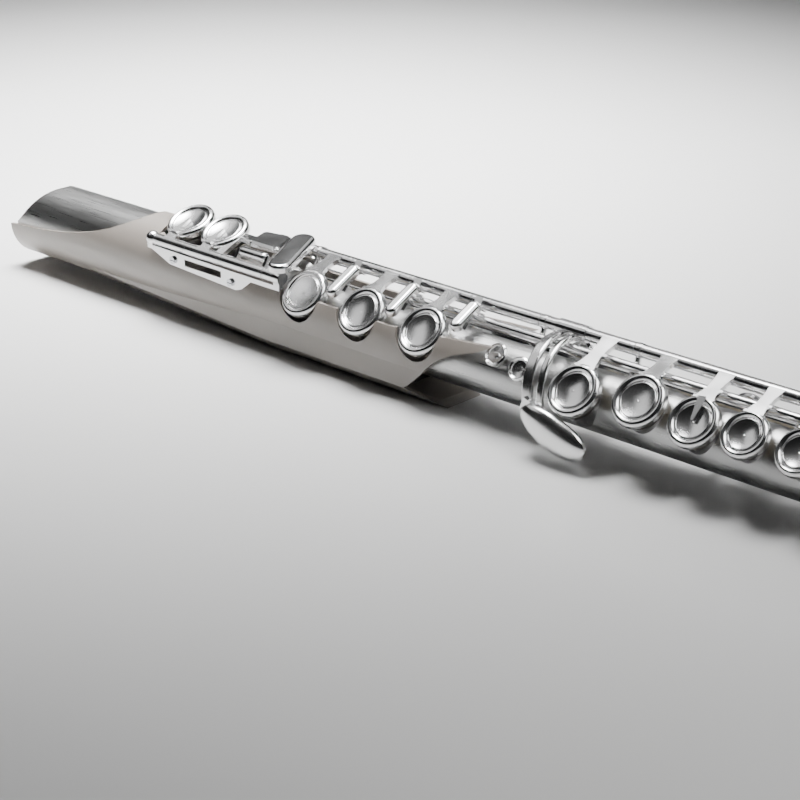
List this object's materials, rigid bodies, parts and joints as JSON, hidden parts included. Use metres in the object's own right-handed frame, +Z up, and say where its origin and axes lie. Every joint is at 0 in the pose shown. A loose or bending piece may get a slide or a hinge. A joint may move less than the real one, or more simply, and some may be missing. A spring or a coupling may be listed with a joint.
{
  "type": "concert flute",
  "caption": "Concert flute with sprung key cups on rods, a crescent lever, a satin tail sleeve and a head joint with lip plate.",
  "frame": {"origin": "centre of the object's footprint, on the surface it lies on", "axes": "+X from the foot to the crown, +Y away from the finger keys, +Z up"},
  "size_m": [0.695, 0.0416, 0.0394],
  "materials": {
    "satin_silver": "satin silver tube",
    "polished_silver": "polished",
    "shell": "warm off-white satin",
    "steel": "bright steel",
    "pad_skin": "matt",
    "cork": "matt cork",
    "saddle_rubber": "matt"
  },
  "bodies": {
    "body": {"body_tube": "satin_silver", "foot_tube": "satin_silver", "foot_bell": "satin_silver", "tail_sleeve": "shell", "sleeve_saddles": "saddle_rubber", "foot_bracket": "polished_silver", "screws": "steel", "barrel": "satin_silver", "vent_caps": "polished_silver", "main_rib": "polished_silver", "posts": "polished_silver", "pivot_steels": "steel", "needle_springs": "steel"},
    "ring_finger_key": {"ring_finger_key": "polished_silver", "ring_finger_pad": "pad_skin"},
    "middle_finger_key": {"middle_finger_key": "polished_silver", "middle_finger_pad": "pad_skin"},
    "index_finger_key": {"index_finger_key": "polished_silver", "index_finger_pad": "pad_skin"},
    "g_key": {"g_key": "polished_silver", "g_pad": "pad_skin"},
    "a_key": {"a_key": "polished_silver", "a_pad": "pad_skin"},
    "b_flat_key": {"b_flat_key": "polished_silver", "b_flat_pad": "pad_skin"},
    "b_key": {"b_key": "polished_silver", "b_pad": "pad_skin"},
    "upper_c_key": {"upper_c_key": "polished_silver", "upper_c_pad": "pad_skin"},
    "c_sharp_key": {"c_sharp_key": "polished_silver", "c_sharp_pad": "pad_skin"},
    "d_trill_key": {"d_trill_key": "polished_silver", "d_trill_pad": "pad_skin"},
    "d_sharp_trill_key": {"d_sharp_trill_key": "polished_silver", "d_sharp_trill_pad": "pad_skin"},
    "g_sharp_key": {"g_sharp_key": "polished_silver", "g_sharp_pad": "pad_skin"},
    "thumb_b_key": {"thumb_b_key": "polished_silver", "thumb_b_pad": "pad_skin"},
    "low_c_key": {"low_c_key": "polished_silver", "low_c_pad": "pad_skin", "foot_steel": "steel", "roller_yoke": "polished_silver"},
    "low_c_sharp_key": {"low_c_sharp_key": "polished_silver", "low_c_sharp_pad": "pad_skin"},
    "low_d_sharp_key": {"low_d_sharp_key": "polished_silver", "low_d_sharp_pad": "pad_skin"},
    "b_flat_lever": {"b_flat_lever": "polished_silver"},
    "d_trill_touch": {"d_trill_touch": "polished_silver"},
    "d_sharp_trill_touch": {"d_sharp_trill_touch": "polished_silver"},
    "roller": {"roller": "polished_silver"},
    "d_sharp_touch": {"d_sharp_touch": "polished_silver"},
    "thumb_b_flat_lever": {"thumb_b_flat_lever": "polished_silver"},
    "head_joint": {"head_tube": "satin_silver", "lip_plate": "polished_silver", "embouchure_riser": "polished_silver"},
    "stopper": {"stopper_cork": "cork", "stopper_plates": "polished_silver", "stopper_screw": "steel"},
    "crown": {"crown": "polished_silver"}
  },
  "joints": [
    {"name": "ring_finger_key_press", "type": "hinge", "parent": "body", "child": "ring_finger_key", "pos_m": [-0.1896, 0.00693, 0.0329], "axis": [1, 0, 0], "range_deg": [0, 5.5], "stiffness_Nm_per_rad": 0.01, "springref_deg": -28.65},
    {"name": "middle_finger_key_press", "type": "hinge", "parent": "body", "child": "middle_finger_key", "pos_m": [-0.1626, 0.00693, 0.0329], "axis": [1, 0, 0], "range_deg": [0, 5.5], "stiffness_Nm_per_rad": 0.01, "springref_deg": -28.65},
    {"name": "index_finger_key_press", "type": "hinge", "parent": "body", "child": "index_finger_key", "pos_m": [-0.1356, 0.00693, 0.0329], "axis": [1, 0, 0], "range_deg": [0, 5.5], "stiffness_Nm_per_rad": 0.01, "springref_deg": -28.65},
    {"name": "g_key_press", "type": "hinge", "parent": "body", "child": "g_key", "pos_m": [-0.0716, 0.00693, 0.0329], "axis": [1, 0, 0], "range_deg": [0, 5.5], "stiffness_Nm_per_rad": 0.01, "springref_deg": -28.65},
    {"name": "a_key_press", "type": "hinge", "parent": "body", "child": "a_key", "pos_m": [-0.0491, 0.00693, 0.0329], "axis": [1, 0, 0], "range_deg": [0, 5.5], "stiffness_Nm_per_rad": 0.01, "springref_deg": -28.65},
    {"name": "b_flat_key_press", "type": "hinge", "parent": "body", "child": "b_flat_key", "pos_m": [-0.0289, 0.00693, 0.0329], "axis": [1, 0, 0], "range_deg": [0, 5.5], "stiffness_Nm_per_rad": 0.01, "springref_deg": -28.65},
    {"name": "b_key_press", "type": "hinge", "parent": "body", "child": "b_key", "pos_m": [-0.0118, 0.00693, 0.0329], "axis": [1, 0, 0], "range_deg": [0, 5.5], "stiffness_Nm_per_rad": 0.01, "springref_deg": -28.65},
    {"name": "upper_c_key_press", "type": "hinge", "parent": "body", "child": "upper_c_key", "pos_m": [0.0065, 0.00693, 0.0329], "axis": [1, 0, 0], "range_deg": [0, 5.5], "stiffness_Nm_per_rad": 0.01, "springref_deg": -28.65},
    {"name": "c_sharp_key_press", "type": "hinge", "parent": "body", "child": "c_sharp_key", "pos_m": [0.0245, 0.00693, 0.0329], "axis": [1, 0, 0], "range_deg": [0, 5.5], "stiffness_Nm_per_rad": 0.01, "springref_deg": -28.65},
    {"name": "thumb_b_key_press", "type": "hinge", "parent": "body", "child": "thumb_b_key", "pos_m": [-0.0255, 0.01443, 0.0068], "axis": [1, 0, 0], "range_deg": [0, 6], "stiffness_Nm_per_rad": 0.01, "springref_deg": -28.65},
    {"name": "g_sharp_key_press", "type": "hinge", "parent": "body", "child": "g_sharp_key", "pos_m": [-0.0855, 0.00693, 0.0329], "axis": [1, 0, 0], "range_deg": [0, 4.5], "stiffness_Nm_per_rad": 0.01, "springref_deg": -28.65},
    {"name": "b_flat_lever_press", "type": "hinge", "parent": "body", "child": "b_flat_lever", "pos_m": [-0.1754, 0.00693, 0.0329], "axis": [1, 0, 0], "range_deg": [0, 4], "stiffness_Nm_per_rad": 0.01, "springref_deg": -28.65},
    {"name": "d_trill_touch_press", "type": "hinge", "parent": "body", "child": "d_trill_touch", "pos_m": [-0.1486, 0.00693, 0.0329], "axis": [1, 0, 0], "range_deg": [0, 4], "stiffness_Nm_per_rad": 0.01, "springref_deg": -28.65},
    {"name": "d_sharp_trill_touch_press", "type": "hinge", "parent": "body", "child": "d_sharp_trill_touch", "pos_m": [-0.1139, 0.00693, 0.0329], "axis": [1, 0, 0], "range_deg": [0, 4], "stiffness_Nm_per_rad": 0.01, "springref_deg": -28.65},
    {"name": "d_trill_key_lift", "type": "hinge", "parent": "body", "child": "d_trill_key", "pos_m": [0.0555, 0.00265, 0.02882], "axis": [-1, 0, 0], "range_deg": [0, 10], "stiffness_Nm_per_rad": 0.01, "springref_deg": -28.65},
    {"name": "d_sharp_trill_key_lift", "type": "hinge", "parent": "body", "child": "d_sharp_trill_key", "pos_m": [0.0395, 0.00265, 0.02882], "axis": [-1, 0, 0], "range_deg": [0, 10], "stiffness_Nm_per_rad": 0.01, "springref_deg": -28.65},
    {"name": "low_c_key_press", "type": "hinge", "parent": "body", "child": "low_c_key", "pos_m": [-0.2535, -0.01297, 0.029], "axis": [-1, 0, 0], "range_deg": [0, 13], "stiffness_Nm_per_rad": 0.01, "springref_deg": -28.65},
    {"name": "low_c_sharp_key_press", "type": "hinge", "parent": "body", "child": "low_c_sharp_key", "pos_m": [-0.2355, -0.01297, 0.029], "axis": [-1, 0, 0], "range_deg": [0, 13], "stiffness_Nm_per_rad": 0.01, "springref_deg": -28.65},
    {"name": "roller_spin", "type": "hinge", "parent": "low_c_key", "child": "roller", "pos_m": [-0.2128, -0.01047, 0.0332], "axis": [1, 0, 0], "continuous": true},
    {"name": "d_sharp_touch_press", "type": "hinge", "parent": "body", "child": "d_sharp_touch", "pos_m": [-0.2055, -0.01297, 0.029], "axis": [-1, 0, 0], "range_deg": [0, 3], "stiffness_Nm_per_rad": 0.01, "springref_deg": -28.65},
    {"name": "low_d_sharp_key_lift", "type": "hinge", "parent": "body", "child": "low_d_sharp_key", "pos_m": [-0.2135, 0.01283, 0.0309], "axis": [1, 0, 0], "range_deg": [0, 8], "stiffness_Nm_per_rad": 0.01, "springref_deg": -28.65},
    {"name": "thumb_b_flat_lever_press", "type": "hinge", "parent": "body", "child": "thumb_b_flat_lever", "pos_m": [-0.0095, 0.01443, 0.0068], "axis": [1, 0, 0], "range_deg": [0, 4], "stiffness_Nm_per_rad": 0.01, "springref_deg": -28.65},
    {"name": "tuning_slide", "type": "slide", "parent": "body", "child": "head_joint", "axis": [1, 0, 0], "range_m": [-0.003, 0.012]},
    {"name": "crown_turn", "type": "hinge", "parent": "head_joint", "child": "crown", "pos_m": [0.3405, 0.00123, 0.016], "axis": [1, 0, 0], "range_deg": [-180.5, 180.5]},
    {"name": "stopper_slide", "type": "slide", "parent": "head_joint", "child": "stopper", "axis": [1, 0, 0], "range_m": [-0.00035, 0.00035]}
  ],
  "couplings": [
    {"joint": "b_flat_key_press", "follows": "b_flat_lever_press", "ratio": 1.375},
    {"joint": "d_trill_key_lift", "follows": "d_trill_touch_press", "ratio": 2.5},
    {"joint": "d_sharp_trill_key_lift", "follows": "d_sharp_trill_touch_press", "ratio": 2.5},
    {"joint": "low_d_sharp_key_lift", "follows": "d_sharp_touch_press", "ratio": 2.6665},
    {"joint": "crown_turn", "follows": "stopper_slide", "rad_per_m": 8976}
  ]
}
